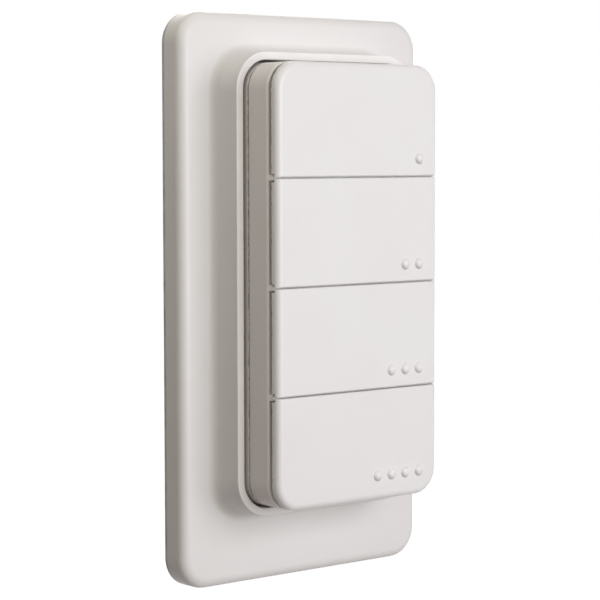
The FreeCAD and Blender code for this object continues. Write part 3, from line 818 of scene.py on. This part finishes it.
def rows_tree(name, kind):
    """Tree that sets a row of blocks or of mounds down at each place."""
    tree = bpy.data.node_groups.new(name, "GeometryNodeTree")
    asked = (
        ("Places", "NodeSocketGeometry"),
        ("Size", "NodeSocketVector"),
        ("Count", "NodeSocketInt"),
        ("Step", "NodeSocketVector"),
        ("Finish", "NodeSocketMaterial"),
    )
    for label, socket in asked:
        tree.interface.new_socket(label, in_out="INPUT", socket_type=socket)
    tree.interface.new_socket("Parts", in_out="OUTPUT", socket_type="NodeSocketGeometry")
    given = tree.nodes.new("NodeGroupInput").outputs
    made = tree.nodes.new("NodeGroupOutput").inputs
    if kind == "block":
        shape = add(tree, "GeometryNodeMeshCube", {"Size": given["Size"]}).outputs["Mesh"]
    else:
        round_ball = {"Segments": 12, "Rings": 8, "Radius": 0.5}
        ball = add(tree, "GeometryNodeMeshUVSphere", round_ball).outputs["Mesh"]
        sized = {"Geometry": ball, "Scale": given["Size"]}
        shape = add(tree, "GeometryNodeTransform", sized).outputs["Geometry"]
    back = maths(tree, "MULTIPLY", maths(tree, "SUBTRACT", given["Count"], 1.0), -0.5)
    half_way = {0: given["Step"], "Scale": back}
    start = add(tree, "ShaderNodeVectorMath", half_way, operation="SCALE").outputs["Vector"]
    line = {"Count": given["Count"], "Start Location": start, "Offset": given["Step"]}
    points = add(tree, "GeometryNodeMeshLine", line).outputs["Mesh"]
    for held in (points, given["Places"]):
        placed = {"Points": held, "Instance": shape}
        shape = add(tree, "GeometryNodeInstanceOnPoints", placed).outputs["Instances"]
    solid = add(tree, "GeometryNodeRealizeInstances", {"Geometry": shape}).outputs["Geometry"]
    coat = {"Geometry": solid, "Material": given["Finish"]}
    tree.links.new(add(tree, "GeometryNodeSetMaterial", coat).outputs["Geometry"], made["Parts"])
    return tree


def set_down(name, tree, places, size, finish, count=1, step=(0.0, 0.0, 0.0)):
    """Rows of one small part at the given places, as one plain mesh on the remote."""
    holder = bpy.data.objects.new(name + "_places", bpy.data.meshes.new(name + "_places"))
    holder.data.from_pydata(places, [], [])
    scene.collection.objects.link(holder)
    rows = holder.modifiers.new("rows", "NODES")
    rows.node_group = tree
    values = {"Size": size, "Count": count, "Step": step, "Finish": finish}
    for item in tree.interface.items_tree:
        if item.name in values:
            rows[item.identifier] = values[item.name]
    graph = bpy.context.evaluated_depsgraph_get()
    mesh = bpy.data.meshes.new_from_object(holder.evaluated_get(graph), depsgraph=graph)
    bpy.data.objects.remove(holder)
    mesh.name = name
    plain_piece(name, mesh, "remote")


def on_board(places, thickness):
    """Middles of parts that lie on the board's front, from (x, z) in millimetres."""
    depth = board_front - thickness / 2
    return [(x * MM, depth, z * MM) for x, z in places]


def chip_and_crystal(blocks, tin):
    """Square chip with its pads on four sides, and the crystal beside it."""
    chip_place = [(0.0, 18.5)]
    chip_side = 5.0 * MM
    chip_height = 0.85 * MM
    pad_count = 8
    pad_pitch = 0.5 * MM
    pad_width = 0.25 * MM
    pad_length = 0.6 * MM
    pad_thickness = 0.12 * MM
    pad_overhang = 0.1 * MM
    pad_reach = chip_side / 2 + pad_overhang
    chip_black = plain_part("chip_moulding", (0.022, 0.022, 0.024), (0.04, 0.04, 0.042), 0.5)
    chip_size = (chip_side, chip_height, chip_side)
    chip_middle = on_board(chip_place, chip_height)
    set_down("board_chip", blocks, chip_middle, chip_size, chip_black)
    x, depth, z = on_board(chip_place, pad_thickness)[0]
    above_and_below = [(x, depth, z + side * pad_reach) for side in (-1, 1)]
    both_sides = [(x + side * pad_reach, depth, z) for side in (-1, 1)]
    for name, places, wide, tall, step in (
        ("board_chip_pads_level", above_and_below, pad_width, pad_length, (pad_pitch, 0.0, 0.0)),
        ("board_chip_pads_upright", both_sides, pad_length, pad_width, (0.0, 0.0, pad_pitch)),
    ):
        size = (wide, pad_thickness, tall)
        set_down(name, blocks, places, size, tin, pad_count, step)

    crystal_place = [(6.4, 19.6)]
    crystal_size = (1.5 * MM, 0.8 * MM, 3.2 * MM)
    can = plain_part("crystal_can", (0.74, 0.74, 0.72), (0.60, 0.60, 0.59), 0.3, metallic=1.0)
    crystal_middle = on_board(crystal_place, crystal_size[1])
    set_down("board_crystal", blocks, crystal_middle, crystal_size, can)


def capacitors_and_resistors(blocks, tin):
    """Chip capacitors and resistors with their tinned ends."""
    length = 1.6 * MM
    width = 0.8 * MM
    end = 0.3 * MM
    body_inset = 0.06 * MM
    ceramic = plain_part("capacitor_ceramic", (0.43, 0.31, 0.20), (0.35, 0.24, 0.15), 0.42)
    film = plain_part("resistor_film", (0.03, 0.032, 0.04), (0.05, 0.05, 0.055), 0.35)
    capacitors = [
        (-5.2, 20.6), (-5.2, 18.9), (-5.2, 17.2), (6.2, 15.9),
        (-8.1, 4.4), (5.4, 3.6), (-4.4, -14.6), (3.2, -11.2),
    ]
    resistors = [
        (-3.4, 14.4), (-1.0, 14.4), (1.4, 14.4), (4.2, 22.9),
        (-6.4, 0.8), (-3.8, 4.4), (3.0, 1.2), (0.4, -13.2),
    ]
    for name, places, thickness, finish, slot in (
        ("board_capacitors", capacitors, 0.8 * MM, ceramic, "stem_plastic"),
        ("board_resistors", resistors, 0.45 * MM, film, "switch_plastic"),
    ):
        middles = on_board(places, thickness)
        size = (length - 2 * end, thickness - body_inset, width - body_inset)
        set_down(name, blocks, middles, size, finish)
        ends = (end, thickness, width)
        step = (length - end, 0.0, 0.0)
        set_down(name + "_ends", blocks, middles, ends, tin, 2, step)


def solder_and_test_pads(blocks, mounds, tin):
    """Solder at the switches' legs and along the radio module, and the row of test pads."""
    leg_count, edge_count, pad_count = 2, 8, 5
    leg_step = (0.0, 0.0, 3.0 * MM)
    leg_solder = (0.95 * MM, 0.36 * MM, 0.95 * MM)
    edge_step = (1.2 * MM, 0.0, 0.0)
    edge_solder = (0.62 * MM, 0.9 * MM, 0.6 * MM)
    pad_step = (2.0 * MM, 0.0, 0.0)
    pad_size = (1.1 * MM, 0.04 * MM, 1.1 * MM)
    pad_place = [(0.0, -26.6)]

    leg_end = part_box("tact_switch_1")[1].x
    legs = []
    for number in range(1, 5):
        switch_middle = sum(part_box(f"tact_switch_{number}"), Vector()) / 2
        for side in (-1, 1):
            legs.append((switch_middle.x + side * leg_end, board_front, switch_middle.z))
    module_edge = [(0.0, board_back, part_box("radio_module")[0].z)]
    pad_row = on_board(pad_place, pad_size[1])
    gold = plain_part("test_pad_gold", (0.86, 0.66, 0.33), (0.74, 0.55, 0.27), 0.24, metallic=1.0)
    for name, shape, places, size, finish, count, step in (
        ("board_switch_solder", mounds, legs, leg_solder, tin, leg_count, leg_step),
        ("board_radio_solder", mounds, module_edge, edge_solder, tin, edge_count, edge_step),
        ("board_test_pads", blocks, pad_row, pad_size, gold, pad_count, pad_step),
    ):
        set_down(name, shape, places, size, finish, count, step)


foam_pad()
block_rows = rows_tree("rows of blocks", "block")
mound_rows = rows_tree("rows of mounds", "mound")
solder_tin = plain_part(
    "solder_tin", (0.80, 0.80, 0.79), (0.64, 0.64, 0.63), 0.26, metallic=1.0, depth=0.008 * MM
)
chip_and_crystal(block_rows, solder_tin)
capacitors_and_resistors(block_rows, solder_tin)
solder_and_test_pads(block_rows, mound_rows, solder_tin)


# Light, floor and camera

def soft_lamp(name, place, size, watts, colour):
    """Square soft lamp that looks at the object."""
    lamp = bpy.data.lights.new(name, "AREA")
    lamp.shape = "SQUARE"
    lamp.size = size
    lamp.energy = watts
    lamp.color = colour
    holder = bpy.data.objects.new(name, lamp)
    holder.rotation_mode = "QUATERNION"
    holder.location = place
    holder.rotation_quaternion = (-place).to_track_quat("-Z", "Y")
    holder.visible_camera = False
    scene.collection.objects.link(holder)


def seen_directly(tree):
    """1 for what the camera, a reflection or clear material shows, 0 for light on other things."""
    path = add(tree, "ShaderNodeLightPath").outputs
    seen = maths(tree, "MAXIMUM", path["Is Camera Ray"], path["Is Glossy Ray"])
    return maths(tree, "MAXIMUM", seen, path["Is Transmission Ray"])


def pale_surroundings():
    """White behind the object, and a soft even fill on it."""
    world = bpy.data.worlds.new("pale_surroundings")
    world.use_nodes = True
    tree = world.node_tree
    tree.nodes.clear()
    seen = seen_directly(tree)
    colour = blend_colour(tree, seen, fill_colour, white)
    strength = spread(tree, seen, 0.0, 1.0, fill_strength, 1.0)
    sky = add(tree, "ShaderNodeBackground", {"Color": colour, "Strength": strength})
    output = tree.nodes.new("ShaderNodeOutputWorld")
    tree.links.new(sky.outputs[0], output.inputs["Surface"])
    scene.world = world


def pale_floor():
    """Pale floor under the object that takes its shadow and looks white where it is lit."""
    half = floor_size / 2
    mesh = bpy.data.meshes.new("pale_floor")
    corners = [(-half, -half), (half, -half), (half, half), (-half, half)]
    mesh.from_pydata([(x, y, floor_level) for x, y in corners], [], [(0, 1, 2, 3)])
    floor = bpy.data.objects.new("pale_floor", mesh)
    material, tree, surface = new_material("pale_floor")
    speckle = noise(tree, floor_speckle_size)
    lighter = times(floor_colour, floor_speckle_gain)
    tone = blend_colour(tree, speckle, floor_colour, lighter)
    tree.links.new(tone, surface.inputs["Base Color"])
    set_constants(surface, roughness=floor_roughness, emission_color=(*white, 1.0))
    glow = maths(tree, "MULTIPLY", seen_directly(tree), floor_glow)
    tree.links.new(glow, surface.inputs["Emission Strength"])
    mesh.materials.append(material)
    scene.collection.objects.link(floor)


def photo_camera():
    """Camera at the photograph's place and angle."""
    away = math.cos(camera_rise)
    back = Vector(
        (math.sin(camera_turn) * away, -math.cos(camera_turn) * away, math.sin(camera_rise))
    )
    level = back.cross(Vector((0.0, 0.0, -1.0))).normalized()
    upright = back.cross(level)
    right = math.cos(camera_roll) * level + math.sin(camera_roll) * upright
    up = math.cos(camera_roll) * upright - math.sin(camera_roll) * level
    camera = bpy.data.cameras.new("photo_camera")
    camera.sensor_width = sensor_width
    camera.lens = focal_pixels / picture_pixels * sensor_width
    camera.clip_start = near_clip
    holder = bpy.data.objects.new("photo_camera", camera)
    turn = Matrix((right, up, back)).transposed().to_4x4()
    holder.matrix_world = Matrix.Translation(camera_aim + back * camera_distance) @ turn
    scene.collection.objects.link(holder)
    scene.camera = holder


for name, (place, size, watts, colour) in lamps.items():
    soft_lamp(name, place, size, watts, colour)
pale_surroundings()
pale_floor()
photo_camera()
scene.view_settings.view_transform = "Standard"
